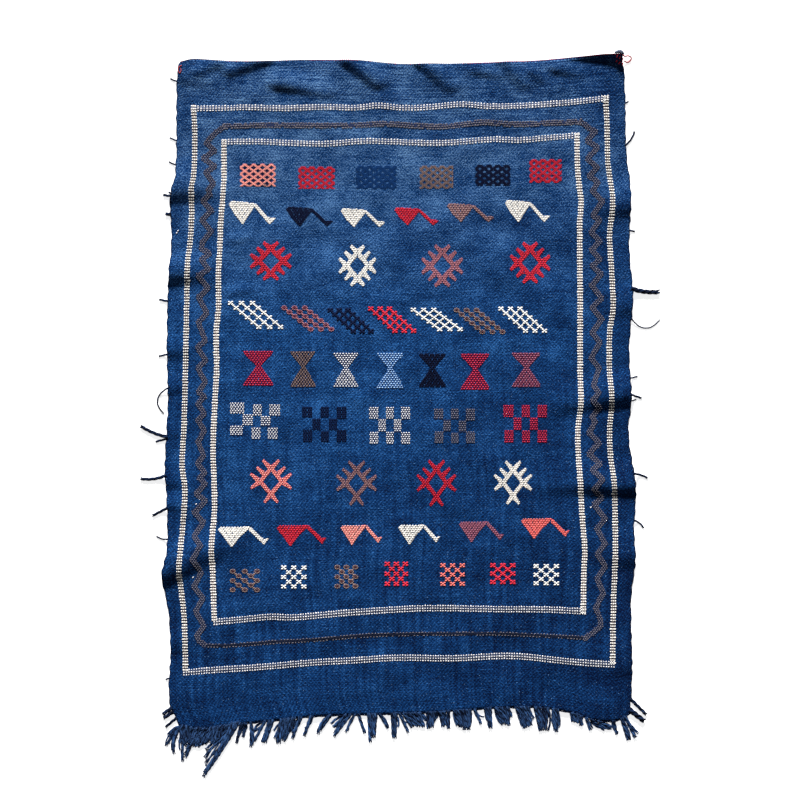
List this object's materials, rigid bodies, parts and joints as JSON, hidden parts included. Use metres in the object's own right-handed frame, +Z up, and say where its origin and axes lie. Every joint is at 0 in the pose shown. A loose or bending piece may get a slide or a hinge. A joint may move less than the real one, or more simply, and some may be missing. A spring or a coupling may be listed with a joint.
{
  "type": "flat-woven berber rug",
  "caption": "Flat-woven blue wool rug with brocaded rows of small motifs, a double dotted border, rippled sides with loose weft ends and a cut fringe at one end.",
  "frame": {"origin": "middle of the rug, on the plane of its underside", "axes": "+Z up from the floor, +Y towards the hemmed end, +X to the right seen from above with the hem at the top"},
  "size_m": [1.1439, 1.5856, 0.0184],
  "materials": {
    "blue_wool": "matt flat-woven wool, weft-faced, heathered mid blue",
    "blue_yarn": "matt cut yarn, dark blue",
    "dark_yarn": "matt edge yarn, near navy",
    "red_thread": "matt sewing thread, red",
    "cream_yarn": "matt brocade yarn, cream white",
    "crimson_yarn": "matt brocade yarn, crimson",
    "coral_yarn": "matt brocade yarn, coral pink",
    "brown_yarn": "matt brocade yarn, grey brown",
    "mauve_yarn": "matt brocade yarn, mauve",
    "navy_yarn": "matt brocade yarn, near-black navy",
    "pale_blue_yarn": "matt brocade yarn, pale blue"
  },
  "bodies": {
    "root": {"rug_cloth": "blue_wool", "fringe": "blue_yarn", "left_ends": "dark_yarn", "right_ends": "dark_yarn", "corner_loop": "red_thread"}
  },
  "joints": []
}
